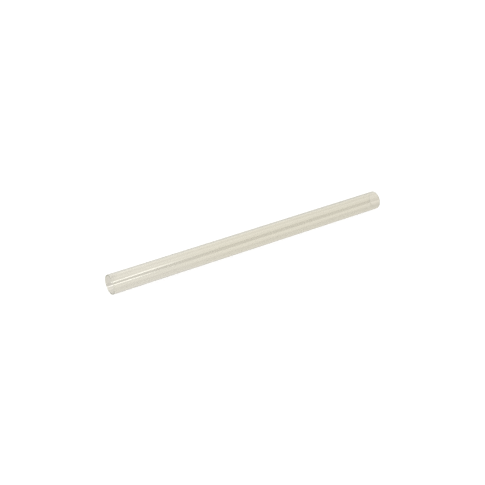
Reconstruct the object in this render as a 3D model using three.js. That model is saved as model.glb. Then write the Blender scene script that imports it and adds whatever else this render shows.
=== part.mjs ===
// The plain glass jacket tube of a Liebig condenser: one length of drawn borosilicate tubing, open at both
// ends. Its ends are cut square, ground flat and lightly fire-polished, so each rim is a narrow flat ring with
// a rounded corner outside and inside. In use a bored rubber stopper closes each end and cooling water runs
// through the bore; none of those pieces belongs to the tube itself.
//
// Units are millimetres. +Z is up and +X runs along the tube. The tube lies on its side, and the origin is on
// the surface it lies on, below the middle of its length.
import * as THREE from "three";

// Driving dimensions.
const tubeLength = 500;
const outerDiameter = 30;
const wallThickness = 1.8;
const rimRounding = 0.6; // radius that fire-polishing leaves on each corner of a rim
const roundingLimit = 0.4; // the most of the wall that one rounding may take

// How finely the round shapes are cut into flats.
const flatsAround = 72;
const stepsPerCorner = 4;
const stripsAlong = 4;

const glassColour = 0xe1decf;
const glassRoughness = 0.05;
const glassOpacity = 0.35;

const outerRadius = outerDiameter / 2;
const boreRadius = outerRadius - wallThickness;
const quarterTurn = Math.PI / 2;

// The wall's section in a lengthwise cut: x is the distance from the tube's axis and y runs along it. The
// outline goes back along the bore, round the near rim, forward along the outside and round the far rim. A
// corner's rounding never passes its limit, so that a flat ring always stays on each end.
function wallSection() {
  const rounding = Math.min(rimRounding, roundingLimit * wallThickness);
  const straightEnd = tubeLength / 2 - rounding;
  const innerCorner = boreRadius + rounding;
  const outerCorner = outerRadius - rounding;
  const section = new THREE.Path();
  const straightRun = (radius, from, to) => {
    for (let strip = 1; strip <= stripsAlong; strip++)
      section.lineTo(radius, from + ((to - from) * strip) / stripsAlong);
  };
  section.moveTo(boreRadius, straightEnd);
  straightRun(boreRadius, straightEnd, -straightEnd);
  section.absarc(innerCorner, -straightEnd, rounding, 2 * quarterTurn, 3 * quarterTurn);
  section.absarc(outerCorner, -straightEnd, rounding, -quarterTurn, 0);
  straightRun(outerRadius, -straightEnd, straightEnd);
  section.absarc(outerCorner, straightEnd, rounding, 0, quarterTurn);
  section.absarc(innerCorner, straightEnd, rounding, quarterTurn, 2 * quarterTurn);
  return section.getPoints(stepsPerCorner / 2); // an arc gets twice as many steps as asked for
}

// Turns the section about the tube's axis. Half a flat of turn puts a flat, and not a corner, at the bottom.
function jacketTube() {
  const halfFlat = Math.PI / flatsAround;
  const wall = new THREE.LatheGeometry(wallSection(), flatsAround, halfFlat, 2 * Math.PI);
  const glass = new THREE.MeshStandardMaterial({
    color: glassColour,
    roughness: glassRoughness,
    metalness: 0,
    transparent: true,
    opacity: glassOpacity,
  });
  const tube = new THREE.Mesh(wall, glass);
  tube.name = "jacket_tube";
  tube.rotation.z = -quarterTurn; // the lathe turns about Y, and the tube lies along X
  tube.position.z = outerRadius * Math.cos(halfFlat); // the lowest flat rests on the surface
  return tube;
}

const condenserJacket = new THREE.Group();
condenserJacket.add(jacketTube());

export default condenserJacket;
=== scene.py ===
# %% [markdown]
# # The glass jacket of a straight condenser
# A straight water-cooled condenser is a narrow tube inside a wide one. This scene holds the wide one by
# itself: half a metre of clear borosilicate tubing, open at both ends. It is one piece of glass, so the
# lesson is about one thing done well: a real wall with real rims, drawn glass that isn't quite perfect,
# and a studio that lets clear glass be seen against white.
#
# The frame comes first. It is the measured model, in metres, with the tube lying along X and Z up.
# Nothing here moves or resizes it.

# %% Load the frame
import math

import bpy
import numpy as np
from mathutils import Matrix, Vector


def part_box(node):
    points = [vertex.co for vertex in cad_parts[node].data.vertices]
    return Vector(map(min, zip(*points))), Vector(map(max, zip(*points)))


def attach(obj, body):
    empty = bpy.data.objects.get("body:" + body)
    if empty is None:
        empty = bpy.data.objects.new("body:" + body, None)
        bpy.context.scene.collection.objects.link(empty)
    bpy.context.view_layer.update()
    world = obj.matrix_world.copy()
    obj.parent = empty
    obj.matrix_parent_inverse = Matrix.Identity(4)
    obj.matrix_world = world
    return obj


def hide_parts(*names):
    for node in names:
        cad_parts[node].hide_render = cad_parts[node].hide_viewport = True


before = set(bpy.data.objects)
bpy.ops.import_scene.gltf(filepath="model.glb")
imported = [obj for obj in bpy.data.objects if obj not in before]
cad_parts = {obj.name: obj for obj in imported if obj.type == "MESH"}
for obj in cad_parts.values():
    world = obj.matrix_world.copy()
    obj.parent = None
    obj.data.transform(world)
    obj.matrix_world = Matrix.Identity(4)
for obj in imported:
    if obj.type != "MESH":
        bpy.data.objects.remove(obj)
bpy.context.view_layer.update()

# %% [markdown]
# ## Measure the tube
# The frame's tube is cut into flats, but every corner of it lies on the true round surface. So the
# corners' distances from the axis give the real radii, and the corners that lie on an end give the flat
# ring of the rim. What is left between that ring and the outside is the radius of the rim's rounding.

# %% Read the sizes off the frame
tube_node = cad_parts["jacket_tube"]
node_low, node_high = (np.array(corner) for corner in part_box("jacket_tube"))
node_axis_height = (node_low[2] + node_high[2]) / 2

flat_numbers = np.empty(3 * len(tube_node.data.vertices))
tube_node.data.vertices.foreach_get("co", flat_numbers)
corners = flat_numbers.reshape(-1, 3)
from_axis = np.hypot(corners[:, 1], corners[:, 2] - node_axis_height)

outer_radius = from_axis.max()
bore_radius = from_axis.min()
half_length = (node_high[0] - node_low[0]) / 2
tube_middle = (node_high[0] + node_low[0]) / 2

touching = 1e-6
on_an_end = corners[:, 0] > node_high[0] - touching
rim_rounding = outer_radius - from_axis[on_an_end].max()
print(f"outside {2000 * outer_radius:.2f} mm, bore {2000 * bore_radius:.2f} mm, "
      f"length {2000 * half_length:.1f} mm, rim rounding {1000 * rim_rounding:.2f} mm")

# %% [markdown]
# ## The section of the wall
# Cut the tube lengthwise and one wall is a long thin bar with a rounded corner at each of its four ends.
# That bar could be two cylinders bridged by hand and bevelled. Here it is written down as an outline
# instead, because the rims then have exactly the rounding that the frame has, and the points can be
# placed where the light needs them: many near the rims, few in the middle.

# %% The outline of the wall
points_along = 61
steps_per_corner = 10
points_over_ring = 4


def wall_outline(outer, bore, reach, rounding):
    """The lengthwise section of the wall, as rows of (place along the axis, distance from the axis).

    The straight runs are at x = s sin(t) for even steps of t from -90 to 90 degrees, where s is half the
    straight length, so that the points crowd towards the rims. Each corner is a quarter circle of the
    rounding, and the flat ring between two corners is the straight line that joins them.
    """
    straight = reach - rounding
    sweep = np.linspace(-np.pi / 2, np.pi / 2, points_along)
    run = straight * np.sin(sweep)
    turn = np.linspace(0, np.pi / 2, steps_per_corner + 1)[1:-1]
    fall, rise = rounding * np.cos(turn), rounding * np.sin(turn)
    ring = np.linspace(outer - rounding, bore + rounding, points_over_ring)
    outside = np.column_stack([run, np.full_like(run, outer)])
    far_outer = np.column_stack([straight + rise, outer - rounding + fall])
    far_ring = np.column_stack([np.full_like(ring, reach), ring])
    far_inner = np.column_stack([straight + fall, bore + rounding - rise])
    bore_run = np.column_stack([run[::-1], np.full_like(run, bore)])
    far_end = np.vstack([far_outer, far_ring, far_inner])
    near_end = np.column_stack([-far_end[::-1, 0], far_end[::-1, 1]])
    return np.vstack([outside, far_end, bore_run, near_end])


outline = wall_outline(outer_radius, bore_radius, half_length, rim_rounding)
print(f"wall outline: {len(outline)} points, {1000 * (outer_radius - bore_radius):.2f} mm thick")

# %% [markdown]
# ## Draw lines
# Glass tubing is pulled out of the furnace as a long soft pipe, and everything that touches it on the way
# leaves a line that runs the whole length: a few thousandths of a millimetre high, on the outside and in
# the bore. They are too shallow to see as shape, but they bend reflections into fine streaks along the
# tube. A bump texture could fake them. They are put into the mesh here, so that the light bends in them
# as well.

# %% Waves round the tube that run along it
line_height = 4e-6
drift = 0.35


def draw_lines(angle, along, slowest, fastest, seed):
    """Height of the draw lines, in shares of their usual height, over the tube's surface.

    It is the sum of n cos(k a + p + d sin(2 pi x / L + q)) / sqrt(k) for every k from the slowest to the
    fastest count of waves round the tube, divided by its usual size. a is the angle, x the place along and
    L the tube's length. n, p and q are random and fixed by the seed, and d is how far a line wanders.
    """
    chance = np.random.default_rng(seed)
    waves = np.arange(slowest, fastest + 1)
    phase = chance.uniform(0, 2 * np.pi, len(waves))
    bend = chance.uniform(0, 2 * np.pi, len(waves))
    size = chance.normal(0, 1, len(waves)) / np.sqrt(waves)
    wander = drift * np.sin(2 * np.pi * along[..., None] / (2 * half_length) + bend)
    height = (size * np.cos(waves * angle[..., None] + phase + wander)).sum(-1)
    return height / np.sqrt((size ** 2).sum() / 2)


print(f"draw lines: {1e6 * line_height:.0f} thousandths of a millimetre high")

# %% [markdown]
# ## The wall itself
# The outline is carried round the axis. The draw lines move its points outwards or inwards, and fade away
# near the rims, where the flame has melted them smooth. The grid of points joins up both ways, round the
# tube and round the outline, so the surface has no seam and no pole.

# %% Carry the outline round the axis
points_around = 420
melted_length = 4e-3
outside_lines = {"slowest": 5, "fastest": 70, "seed": 3}
bore_lines = {"slowest": 4, "fastest": 60, "seed": 8}


def tube_points(section):
    """Points of the tube, as (points of the outline, points around, 3).

    A point is (x, R cos a, h + R sin a): R is the outline's distance from the axis plus the draw lines'
    height times a fade, h is the height of the axis, and a goes evenly round. The fade is 3 t^2 - 2 t^3 of
    the distance t to the nearer rim, in melted lengths, held between 0 and 1.
    """
    turn = np.linspace(0, 2 * np.pi, points_around, endpoint=False)
    along, angle = np.meshgrid(section[:, 0], turn, indexing="ij")
    radius = np.repeat(section[:, 1:], points_around, axis=1)
    reach = np.clip((half_length - rim_rounding - np.abs(along)) / melted_length, 0, 1)
    fade = reach ** 2 * (3 - 2 * reach)
    is_outside = radius > (outer_radius + bore_radius) / 2
    lines = np.where(is_outside, draw_lines(angle, along, **outside_lines),
                     draw_lines(angle, along, **bore_lines))
    radius = radius + line_height * fade * lines
    sideways, up = radius * np.cos(angle), outer_radius + radius * np.sin(angle)
    return np.stack([tube_middle + along, sideways, up], -1)


def closed_grid(name, points):
    """A smooth mesh over a grid of points that joins up both ways. A face is four neighbouring points."""
    index = np.arange(points.shape[0] * points.shape[1]).reshape(points.shape[:2])
    beside = np.roll(index, -1, axis=1)
    after = np.roll(index, -1, axis=0)
    across = np.roll(after, -1, axis=1)
    quads = np.stack([index, beside, across, after], -1).reshape(-1, 4)
    mesh = bpy.data.meshes.new(name)
    mesh.from_pydata(points.reshape(-1, 3), [], quads)
    mesh.shade_smooth()
    return mesh


wall_mesh = closed_grid("jacket_glass", tube_points(outline))
jacket_glass = bpy.data.objects.new("jacket_glass", wall_mesh)
bpy.context.scene.collection.objects.link(jacket_glass)
print(f"jacket_glass: {2 * len(wall_mesh.polygons)} triangles")

# %% [markdown]
# ## Is it the right way out?
# The grid joins up both ways, so the mesh is closed. Which way its faces point is another matter. The sum
# that gives a closed mesh's volume comes out below zero when they point inwards, so it is worked out
# here. The same number is the glass that the real tube takes.

# %% Measure the glass


def enclosed_volume(mesh):
    """Volume in a closed mesh: a sixth of the sum of a . (b x c) over its triangles' corners a, b, c."""
    mesh.calc_loop_triangles()
    places = np.empty(3 * len(mesh.vertices))
    mesh.vertices.foreach_get("co", places)
    threes = np.empty(3 * len(mesh.loop_triangles), dtype=np.int64)
    mesh.loop_triangles.foreach_get("vertices", threes)
    a, b, c = places.reshape(-1, 3)[threes.reshape(-1, 3)].transpose(1, 0, 2)
    return (a * np.cross(b, c)).sum() / 6


print(f"{1e6 * enclosed_volume(wall_mesh):.1f} cm3 of glass")

# %% [markdown]
# ## Small helpers for materials
# Colours are picked as the eye sees them, as hex, but a renderer adds up light, so one function turns hex
# into linear colour. One more function adds a node with its settings and its links.

# %% Hex to linear, and one way to add a node


def linear(hex_colour):
    """Linear RGBA of an sRGB hex colour.

    A share c of full brightness becomes c / 12.92 up to 0.04045, and ((c + 0.055) / 1.055) ^ 2.4 above it.
    """
    shares = np.array([int(hex_colour[i:i + 2], 16) for i in (1, 3, 5)]) / 255
    light = np.where(shares <= 0.04045, shares / 12.92, ((shares + 0.055) / 1.055) ** 2.4)
    return (*light.tolist(), 1.0)


def node(tree, kind, settings=None, **sockets):
    """Adds a node to a tree. Settings are its own properties, and each socket gets a value or a link.

    A socket is named with _ for a space, or by its number as i0 or i1 where two sockets share a name.
    """
    made = tree.nodes.new(kind)
    for name, value in (settings or {}).items():
        setattr(made, name, value)
    for name, value in sockets.items():
        numbered = name[0] == "i" and name[1:].isdigit()
        socket = made.inputs[int(name[1:]) if numbered else name.replace("_", " ")]
        if isinstance(value, bpy.types.NodeSocket):
            tree.links.new(value, socket)
        else:
            socket.default_value = value
    return made


def new_material(name):
    """An empty material, and its tree."""
    made = bpy.data.materials.new(name)
    made.use_nodes = True
    made.node_tree.nodes.clear()
    return made, made.node_tree


print("helpers: linear, node, new_material")

# %% [markdown]
# ## Borosilicate glass
# Borosilicate 3.3 is drawn as tubing and left as it cools: nothing polishes it. It bends light with an
# index of 1.473, it mirrors sharply, and in bulk it has a faint straw cast. The tint is a colour on the
# shader, and a passage through a wall takes it once. Two patterns break up the perfection. A finer
# ripple, of lines about a millimetre wide and a quarter of a metre long, goes on where the mesh's draw
# lines stop. And handling leaves smudges a few centimetres across, where the surface is a little duller.

# %% The glass
glass_index = 1.473
glass_tint = "#FDFDFA"
ripple_length, ripple_width = 0.25, 0.001
ripple_height, ripple_strength = 2e-6, 0.12
ripple_detail, ripple_harshness = 3.0, 0.6
smudges_per_metre, smudge_detail = 28.0, 4.0
smudge_starts, smudge_full, dullest = 0.45, 0.75, 0.05

glass, tree = new_material("borosilicate_glass")
place = node(tree, "ShaderNodeTexCoord")
stretched = node(tree, "ShaderNodeMapping", Vector=place.outputs["Object"],
                 Scale=(1 / ripple_length, 1 / ripple_width, 1 / ripple_width))
fine_lines = node(tree, "ShaderNodeTexNoise", Vector=stretched.outputs["Vector"], Scale=1.0,
                  Detail=ripple_detail, Roughness=ripple_harshness)
ripple = node(tree, "ShaderNodeBump", Strength=ripple_strength, Distance=ripple_height,
              Height=fine_lines.outputs["Fac"])
smudges = node(tree, "ShaderNodeTexNoise", Vector=place.outputs["Object"], Scale=smudges_per_metre,
               Detail=smudge_detail)
dullness = node(tree, "ShaderNodeMapRange", Value=smudges.outputs["Fac"], From_Min=smudge_starts,
                From_Max=smudge_full, To_Min=0.0, To_Max=dullest)
skin = node(tree, "ShaderNodeBsdfPrincipled", Base_Color=linear(glass_tint), IOR=glass_index,
            Transmission_Weight=1.0, Roughness=dullness.outputs["Result"], Normal=ripple.outputs["Normal"])
node(tree, "ShaderNodeOutputMaterial", Surface=skin.outputs["BSDF"])
wall_mesh.materials.append(glass)
print("glass:", glass.name, "index", glass_index)

# %% [markdown]
# ## The ground rims
# A tube is sawn to length and its ends are ground flat. The flame then melts the two corners clear, but
# the flat ring between them keeps some of the wheel's bloom: most of the light that meets it is
# scattered, and it looks pale and milky. It could be a ring of its own. It is a second material on the
# same mesh instead, because the real ring is the same piece of glass.

# %% The milky ring on each end
milky_tint = "#F8FAF0"
milky_clearness, milky_roughness = 0.20, 0.35
ring_margin = 0.2 * rim_rounding

edge, tree = new_material("ground_glass_edge")
milky = node(tree, "ShaderNodeBsdfPrincipled", Base_Color=linear(milky_tint), IOR=glass_index,
             Transmission_Weight=milky_clearness, Roughness=milky_roughness)
node(tree, "ShaderNodeOutputMaterial", Surface=milky.outputs["BSDF"])
wall_mesh.materials.append(edge)
middles = np.empty(3 * len(wall_mesh.polygons))
wall_mesh.polygons.foreach_get("center", middles)
on_ring = np.abs(middles[0::3] - tube_middle) > half_length - ring_margin
wall_mesh.polygons.foreach_set("material_index", on_ring.astype(np.int32))
print("milky faces on the two rings:", on_ring.sum())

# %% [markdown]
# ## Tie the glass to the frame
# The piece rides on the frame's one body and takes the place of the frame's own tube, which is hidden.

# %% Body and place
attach(jacket_glass, "root")
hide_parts("jacket_tube")
print("jacket_glass stands for jacket_tube")

# %% [markdown]
# ## A white table
# The tube lies on a plain white surface that runs out to a white horizon. A lit white sheet would take a
# shadow. This one glows by itself, and so strongly that no shadow shows on it. Only the camera sees it
# directly. What the glass bends and mirrors comes next.

# %% The table and the white beyond it
white = linear("#FFFFFF")
table_grey = linear("#898989")
table_glow, beyond_glow = 0.93, 1.05
table_radius = 40.0
disc_corners = 128
unseen_gap = 5e-5
rays = ("camera", "diffuse", "glossy", "transmission", "volume_scatter", "shadow")


def stage_piece(name, points, faces, shade, seen_by):
    """A mesh that isn't part of the tube, and that only the named kinds of rays meet."""
    mesh = bpy.data.meshes.new(name)
    mesh.from_pydata(points, [], faces)
    mesh.materials.append(shade)
    made = bpy.data.objects.new(name, mesh)
    bpy.context.scene.collection.objects.link(made)
    for ray in rays:
        setattr(made, "visible_" + ray, ray in seen_by)
    return made


def stage_disc(name, radius, height, shade, seen_by):
    """A level round sheet of one face, with its corners evenly round the edge: (r cos a, r sin a, h)."""
    around = np.linspace(0, 2 * np.pi, disc_corners, endpoint=False)
    level = np.full(disc_corners, height)
    edge_points = np.column_stack([radius * np.cos(around), radius * np.sin(around), level])
    return stage_piece(name, edge_points, [list(range(disc_corners))], shade, seen_by)


table_paper, tree = new_material("white_table")
scattered = node(tree, "ShaderNodeBsdfDiffuse", Color=table_grey)
own = node(tree, "ShaderNodeEmission", Color=white, Strength=table_glow)
both = node(tree, "ShaderNodeAddShader", i0=scattered.outputs["BSDF"], i1=own.outputs["Emission"])
node(tree, "ShaderNodeOutputMaterial", Surface=both.outputs["Shader"])
stage_disc("table", table_radius, -unseen_gap, table_paper, {"camera"})

world = bpy.data.worlds.new("white_beyond")
bpy.context.scene.world = world
world.use_nodes = True
world.node_tree.nodes.clear()
beyond = node(world.node_tree, "ShaderNodeBackground", Color=white, Strength=beyond_glow)
node(world.node_tree, "ShaderNodeOutputWorld", Surface=beyond.outputs["Background"])
print(f"table: {2 * table_radius:.0f} m across")

# %% [markdown]
# ## The cream sweep under the tube
# Clear glass has no look of its own: it shows what is behind it and what it mirrors. Clear glass on white
# paper in a white room all but disappears. So this tube is lit in a tent of cream cloth, on a cream sheet
# that is called a sweep, while its ground stays white. The kinds of rays make that possible. The camera
# doesn't see the tent and the sweep, and the rays that the glass has bent or mirrored see them instead of
# the white table. Each level sheet lies at a height of its own, a hair's breadth from the next, so that
# no two share a plane.

# %% The sweep
tent_radius = 3.0
cream = linear("#FFF9EB")
sweep_glow = 0.715
sweep_height = -2 * unseen_gap
all_but_camera = set(rays) - {"camera"}

sweep_paper, tree = new_material("cream_sweep")
own = node(tree, "ShaderNodeEmission", Color=cream, Strength=sweep_glow)
node(tree, "ShaderNodeOutputMaterial", Surface=own.outputs["Emission"])
stage_disc("sweep", tent_radius, sweep_height, sweep_paper, all_but_camera)
print(f"sweep: {2 * tent_radius:.0f} m across")

# %% [markdown]
# ## Sheets that glow unevenly
# The tent, the paper near the tube and the lamp are all brighter in one place than in another. Lamps of
# Blender's own could light them, but their light would come with noise. So each is a grid of points that
# glows, and every point holds its own linear colour in an attribute of the mesh.

# %% A glowing grid


def glow_by_point(name, see_through=False):
    """A material that glows with the colour that the mesh's "glow" attribute holds at each point.

    A see-through one adds its light to what lies behind it, and hides nothing.
    """
    made, tree = new_material(name)
    held = node(tree, "ShaderNodeAttribute", {"attribute_name": "glow"})
    lamp = node(tree, "ShaderNodeEmission", Color=held.outputs["Color"], Strength=1.0)
    surface = lamp.outputs["Emission"]
    if see_through:
        clear = node(tree, "ShaderNodeBsdfTransparent")
        both = node(tree, "ShaderNodeAddShader", i0=clear.outputs["BSDF"], i1=surface)
        surface = both.outputs["Shader"]
    node(tree, "ShaderNodeOutputMaterial", Surface=surface)
    return made


def glowing_grid(name, points, colours, strengths, shade, seen_by):
    """A stage piece over an open grid of points, each glowing with its linear colour times its strength."""
    index = np.arange(points.shape[0] * points.shape[1]).reshape(points.shape[:2])
    faces = np.stack([index[:-1, :-1], index[1:, :-1], index[1:, 1:], index[:-1, 1:]], -1).reshape(-1, 4)
    made = stage_piece(name, points.reshape(-1, 3), faces, shade, seen_by)
    glow = np.ones(strengths.shape + (4,))
    glow[..., :3] = np.asarray(colours)[..., :3] * strengths[..., None]
    made.data.attributes.new("glow", "FLOAT_COLOR", "POINT").data.foreach_set("color", glow.ravel())
    print(f"{name}: {strengths.size} points, glow {strengths.min():.2f} to {strengths.max():.2f}")


# %% [markdown]
# ## A cream light tent
# The tent is half a ball over the tube. Its cloth is lit from behind by a lamp overhead, with a hot
# middle, and by one at the back, and it is open on the viewer's side. The opening is cloth that doesn't
# glow, as dark as an unlit room. It is what gives the glass its darker parts: a tube with the same light
# all round has no shape.

# %% The shape of the tent
tent_turns, tent_spans = 180, 90


def tent_points(turn, span):
    """Points of half a ball over the tube: (r sin b, -r cos a cos b, r sin a cos b).

    a rises from the front horizon over the top to the back horizon, and b runs along the tube, so that a is
    the place round the tube's axis.
    """
    backwards, up = -np.cos(turn) * np.cos(span), np.sin(turn) * np.cos(span)
    return tent_radius * np.stack([np.sin(span), backwards, up], -1)


turn, span = np.meshgrid(np.linspace(0, np.pi, tent_turns + 1),
                         np.linspace(-np.pi / 2, np.pi / 2, tent_spans + 1), indexing="ij")
print("tent grid:", turn.shape)

# %% [markdown]
# ## The tent's light
# Places on the cloth are in degrees, from 0 at the front horizon over the top to 180 at the back horizon.
# Along the tube, the cloth is brighter over the left end and the middle than it is beyond the right end.

# %% The brightness of the cloth
apron_top, opening_starts, opening_ends, cloth_whole = 9, 16, 50, 68
apron_glow, cloth_glow, low_glow = 0.80, 0.80, 0.69
low_cloth_starts, low_cloth_full = 146, 156
# Each lamp behind the cloth: where the middle of its patch of light is, how far that spreads, what it adds.
overhead_lamp, overhead_core, rear_lamp = (90, 30, 0.28), (90, 10, 0.37), (139, 18, 0.42)
lit_end, dim_end = 0.35, 0.65
lit_share, dim_share = 1.12, 0.92


def cloth_brightness(angle):
    """Brightness of the cloth at an angle: an apron in front, the opening, and lit cloth to the back.

    Each edge is a straight ramp. A lamp adds its gain times 1 - d / w, where d is how far the angle is from
    the lamp's middle and w is how far its patch spreads, and nothing beyond that.
    """
    apron = apron_glow * np.clip((opening_starts - angle) / (opening_starts - apron_top), 0, 1)
    closed = np.clip((angle - opening_ends) / (cloth_whole - opening_ends), 0, 1)
    plain = np.interp(angle, (low_cloth_starts, low_cloth_full), (cloth_glow, low_glow))
    lit = sum(gain * np.clip(1 - np.abs(angle - middle) / spread, 0, 1)
              for middle, spread, gain in (overhead_lamp, overhead_core, rear_lamp))
    return apron + closed * (plain + lit)


along_tube = np.interp(np.sin(span), (lit_end, dim_end), (lit_share, dim_share))
cloth = glow_by_point("tent_cloth")
glowing_grid("tent", tent_points(turn, span), linear("#FFFEF7"),
             cloth_brightness(np.degrees(turn)) * along_tube, cloth, all_but_camera)
print("tent: open from", opening_starts, "to", opening_ends, "degrees above the front horizon")

# %% [markdown]
# ## Shade and light on the paper
# Paper near a glass tube isn't evenly lit, because the tube takes light away in one place and gathers it
# in another. A renderer could work that out, but only with a great many samples. So a patch of paper is
# laid over the sweep here, with a few darker and lighter bands along the tube. Nothing computes them.
# They are a painted backdrop, placed so that the tube looks right from the camera below.
#
# The patch comes first, with a border over which it fades into the sweep.

# %% The patch of paper under the tube
patch_along, patch_across = (-0.36, 0.46), (-0.10, 0.11)
patch_steps = (206, 211)
patch_border = 0.03
patch_height = -1.5 * unseen_gap


def smooth(share):
    """The S curve 3 t^2 - 2 t^3, for t held between 0 and 1."""
    held = np.clip(share, 0, 1)
    return held ** 2 * (3 - 2 * held)


def level_grid(along_reach, across_reach, steps, height):
    """An open level grid: its places along the tube, its places across, and its points (x, y, h)."""
    along, across = np.meshgrid(np.linspace(*along_reach, steps[0]), np.linspace(*across_reach, steps[1]),
                                indexing="ij")
    return along, across, np.stack([along, across, np.full_like(along, height)], -1)


along, across, patch_points = level_grid(patch_along, patch_across, patch_steps, patch_height)
inside = (smooth(np.minimum(along - patch_along[0], patch_along[1] - along) / patch_border)
          * smooth(np.minimum(across - patch_across[0], patch_across[1] - across) / patch_border))
print(f"patch: {along.size} points, fading out over its last {1000 * patch_border:.0f} mm")

# %% [markdown]
# The broad light and shade come next. Places across are measured from below the tube's axis, positive
# behind it. The paper in front is a little brighter, the paper below the tube is darker, and both change
# slowly along the tube.

# %% Light in front and shade below
lit_lift, lift_loss = 0.030, 0.06
shade_depth, depth_growth = 0.140, 0.07
shade_starts, shade_full = 0.014, 0.002
front_starts, front_full = -0.004, -0.013
front_lift = 0.09

in_front = smooth((front_starts - across) / (front_starts - front_full))
in_shade = smooth((shade_starts - across) / (shade_starts - shade_full)) * (1 - in_front)
gain = (lit_lift - lift_loss * along - (shade_depth + depth_growth * along) * in_shade
        + front_lift * in_front)
print(f"change in the paper's glow: {100 * gain.min():+.0f} to {100 * gain.max():+.0f} %")

# %% [markdown]
# Then the narrow bands. A faint one lies behind the right-hand part of the tube. Two thinner ones start
# in the left third and run on to the right. The last is a darker place that shows through the left mouth,
# where only one wall covers it.

# %% The bands and the shade behind the mouth
far_band_place, far_band_half_width, far_band_gain = 0.023, 0.010, 0.030
far_band_starts, far_band_growth = 0.10, 0.12
side_places, side_half_width, side_gain = (0.0302, 0.0157), 0.0055, 0.065
side_starts, side_growth = -0.17, 0.10
mouth_edge, mouth_slant, mouth_softness = -0.2415, 0.5, 0.005
mouth_starts, mouth_full, mouth_depth = 0.010, 0.026, 0.11

far_band = np.clip(1 - ((across - far_band_place) / far_band_half_width) ** 2, 0, 1)
gain = gain + far_band_gain * smooth((along - far_band_starts) / far_band_growth) * far_band
for place in side_places:
    nearness = np.clip(1 - np.abs(across - place) / side_half_width, 0, 1)
    side_band = np.sin(np.pi / 2 * nearness) ** 2
    gain = gain + side_gain * side_band * smooth((along - side_starts) / side_growth)
past_mouth = smooth((mouth_edge + mouth_slant * across - along) / mouth_softness)
behind_bore = smooth((across - mouth_starts) / (mouth_full - mouth_starts))
gain = gain - mouth_depth * past_mouth * behind_bore
print(f"with the bands: {100 * gain.min():+.0f} to {100 * gain.max():+.0f} %")

# %% [markdown]
# The paper is also painted a paler, whiter cream towards the left end. This is painted light, as if whiter
# light fell on that end.

# %% Colour the patch and lay it down
spill_cream = linear("#FFFAF0")
spill_until, spill_fade = -0.02, 0.16

# Painted light: a whiter cream that fades in towards the left end and is mixed into the paper's cream.
spill_share = (inside * smooth((spill_until - along) / spill_fade))[..., None]
paper_and_spill_colours = np.array(cream) * (1 - spill_share) + np.array(spill_cream) * spill_share
glowing_grid("patch", patch_points, paper_and_spill_colours, sweep_glow * (1 + inside * gain),
             glow_by_point("paper_under_tube"), all_but_camera)

# %% [markdown]
# ## The strip light
# One soft light hangs at the top of the opening, along the tube, and the walls mirror it as white
# streaks. It is brightest along its middle line, so that the streaks have soft edges, and it dies away to
# the right, so that the streaks do too. A mirrored light is only met by a few rays in a hundred, so a
# strong one makes ragged streaks. This one is kept weak, and the next step adds the rest.

# %% A strip light that fades across and along
strip_distance, strip_angle = 1.60, math.radians(51.0)
strip_glow = 2.4
strip_half_length, strip_half_width = 0.9, 0.24
strip_steps = (73, 25)
strip_centre_along = 0.2
strip_fades, strip_gone = 0.50, 0.78
lamp_white = linear("#FFFEFC")

strip_middle = np.array([strip_centre_along, -strip_distance * math.cos(strip_angle),
                         outer_radius + strip_distance * math.sin(strip_angle)])
lengthwise = np.array([1, 0, 0])
crosswise = np.array([0, math.sin(strip_angle), math.cos(strip_angle)])
along, across = np.meshgrid(np.linspace(-1, 1, strip_steps[0]), np.linspace(-1, 1, strip_steps[1]),
                            indexing="ij")
strip_points = (strip_middle + strip_half_length * along[..., None] * lengthwise
                + strip_half_width * across[..., None] * crosswise)
left_over = smooth((strip_gone - strip_points[..., 0]) / (strip_gone - strip_fades))
soft_lamp = glow_by_point("strip_light", see_through=True)
glowing_grid("strip", strip_points, lamp_white, strip_glow * np.cos(np.pi / 2 * across) ** 2 * left_over,
             soft_lamp, {"glossy", "transmission"})

# %% [markdown]
# ## The rest of the streaks
# Most of the streaks' light comes from two thin glowing lines on the paper, behind the left third of the
# tube. They are a stand-in, and a cheap one. A mirror turns only a few rays towards a lamp, but every ray
# that goes through the glass towards a line meets it, so the lines come out smooth. No other rays see
# them. Like the bands, they are placed for the camera below. The upper one starts sharply and
# drifts a little across. The lower one starts just beyond the left end, and grows slowly.

# %% Two glowing lines on the paper
lines_along, lines_across, lines_steps = (-0.27, -0.03), (0.012, 0.034), (121, 45)
lines_height = -1.2 * unseen_gap
line_half_width = 0.0028
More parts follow.
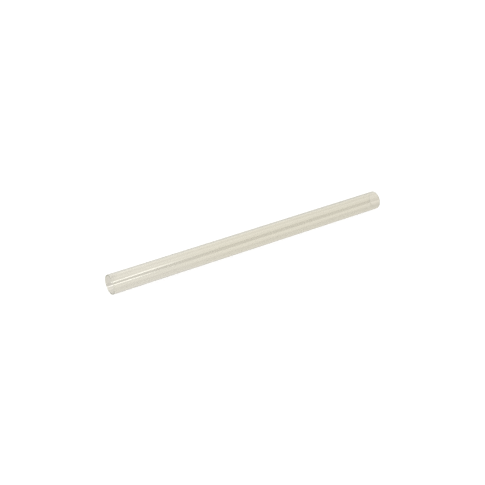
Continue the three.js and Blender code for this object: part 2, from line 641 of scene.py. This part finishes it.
# For each line: its place across, its drift across per metre, its glow, where it starts along the tube,
# over what length it grows, where it begins to fade, and where it is gone.
upper_line = (0.0278, 0.025, 0.64, -0.236, 0.003, -0.215, -0.095)
lower_line = (0.0188, 0.0, 0.50, -0.262, 0.034, -0.215, -0.135)

along, across, line_points = level_grid(lines_along, lines_across, lines_steps, lines_height)


def line_glow(place, drift, strength, start, growth, fades, gone):
    """Glow of one line: s sin^2(90 n) times an S curve at each end.

    s is the line's strength, and n falls from 1 on the line to 0 beside it, at the half-width.
    """
    aside = np.abs(across - place - drift * (along - start))
    nearness = np.clip(1 - aside / line_half_width, 0, 1)
    length = smooth((along - start) / growth) * smooth((gone - along) / (gone - fades))
    return strength * np.sin(np.pi / 2 * nearness) ** 2 * length


glowing_grid("streak_lines", line_points, lamp_white, line_glow(*upper_line) + line_glow(*lower_line),
             soft_lamp, {"transmission"})

# %% [markdown]
# ## The camera
# The camera stands in front of the tube, to the left of it and well above it, so that the left end comes
# out nearer and lower in the view. A fairly long lens keeps the two ends close in size. It aims a
# finger's width to the left of the tube's middle and a little below it. The plain view transform shows
# each colour as it was picked.

# %% Camera
view_azimuth, view_elevation, view_distance = -33.96, 28.5, 1.4145
tube_to_right, tube_above = 0.01695, 0.0060
focal_length, sensor_width = 66.95, 36.0

turn, rise = math.radians(view_azimuth), math.radians(view_elevation)
back = Vector((math.sin(turn) * math.cos(rise), -math.cos(turn) * math.cos(rise), math.sin(rise)))
facing = (-back).to_track_quat("-Z", "Y")
right, above = facing @ Vector((1, 0, 0)), facing @ Vector((0, 1, 0))
middle = Vector((tube_middle, 0, outer_radius))
lens = bpy.data.cameras.new("camera")
lens.lens = focal_length
lens.sensor_width = sensor_width
camera = bpy.data.objects.new("camera", lens)
camera.rotation_mode = "QUATERNION"
camera.rotation_quaternion = facing
camera.location = middle - tube_to_right * right - tube_above * above + view_distance * back
bpy.context.scene.collection.objects.link(camera)
bpy.context.scene.camera = camera
bpy.context.scene.view_settings.view_transform = "Standard"
print("camera at", [round(v, 3) for v in camera.location])
